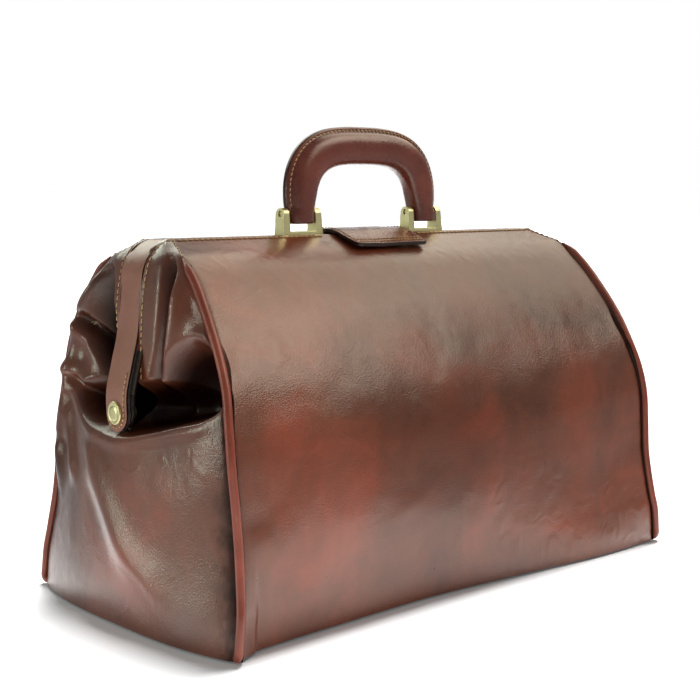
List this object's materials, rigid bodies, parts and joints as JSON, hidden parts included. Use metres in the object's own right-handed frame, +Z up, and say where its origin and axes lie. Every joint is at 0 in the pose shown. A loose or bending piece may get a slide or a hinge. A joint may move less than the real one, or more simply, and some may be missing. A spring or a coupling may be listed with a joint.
{
  "type": "doctor bag",
  "caption": "Leather doctor bag with a hinged two-jaw mouth frame, piped corners, folded ends, a padded top handle in brass yokes and a closing tab.",
  "frame": {"origin": "middle of the base, on the floor it stands on", "axes": "+Z up, X along the mouth, the front with the closing tab's tip faces -Y"},
  "size_m": [0.438, 0.2416, 0.3253],
  "materials": {
    "body_leather": "glossy vegetable-tanned, mottled",
    "strap_leather": "glossy, hemmed and stitched",
    "handle_leather": "glossy, wrapped and stitched",
    "piping_leather": "glossy, drawn over cord",
    "lining_fabric": "woven cotton",
    "frame_steel": "bright",
    "brass": "pale, polished",
    "magnet_steel": "plated",
    "board": "pressed fibre",
    "handle_core": "moulded"
  },
  "bodies": {
    "body": {"base_panel": "body_leather", "base_board": "board", "front_panel_lower": "body_leather", "back_panel_lower": "body_leather", "gusset_lower_left": "body_leather", "gusset_lower_right": "body_leather", "piping_lower": "piping_leather", "lining_lower": "lining_fabric", "pivot_rivets": "brass", "pivot_spacers": "brass", "pivot_washers": "brass", "rivet_tails": "brass"},
    "front_jaw": {"front_frame": "frame_steel", "front_strap_left": "strap_leather", "front_strap_right": "strap_leather", "front_bar_cover": "strap_leather", "front_hem": "strap_leather", "front_panel_upper": "body_leather", "front_gusset_upper_left": "body_leather", "front_gusset_upper_right": "body_leather", "front_piping_upper": "piping_leather", "front_lining_upper": "lining_fabric", "magnet_plate": "magnet_steel", "handle_bracket_left": "brass", "handle_bracket_right": "brass", "bracket_screws": "frame_steel"},
    "rear_jaw": {"rear_frame": "frame_steel", "rear_bar_cover": "strap_leather", "rear_hem": "strap_leather", "back_panel_upper": "body_leather", "rear_gusset_upper_left": "body_leather", "rear_gusset_upper_right": "body_leather", "rear_piping_upper": "piping_leather", "rear_lining_upper": "lining_fabric", "rear_pocket": "strap_leather", "tab_anchor": "strap_leather", "anchor_rivets": "brass"},
    "handle": {"handle_core": "handle_core", "handle_leather": "handle_leather", "handle_welt": "handle_leather", "handle_pins": "brass"},
    "closure_tab": {"tab_leather": "strap_leather", "tab_lining": "lining_fabric", "tab_magnet": "magnet_steel"}
  },
  "joints": [
    {"name": "front_jaw_hinge", "type": "hinge", "parent": "body", "child": "front_jaw", "pos_m": [0, 0, 0.1371], "axis": [1, 0, 0], "range_deg": [0, 45]},
    {"name": "rear_jaw_hinge", "type": "hinge", "parent": "body", "child": "rear_jaw", "pos_m": [0, 0, 0.1371], "axis": [-1, 0, 0], "range_deg": [0, 45]},
    {"name": "handle_hinge", "type": "hinge", "parent": "front_jaw", "child": "handle", "pos_m": [0, -0.0065, 0.2631], "axis": [1, 0, 0], "range_deg": [-90, 90]},
    {"name": "closure_tab_hinge", "type": "hinge", "parent": "rear_jaw", "child": "closure_tab", "pos_m": [0, 0.009, 0.2492], "axis": [-1, 0, 0], "range_deg": [0, 60]}
  ]
}
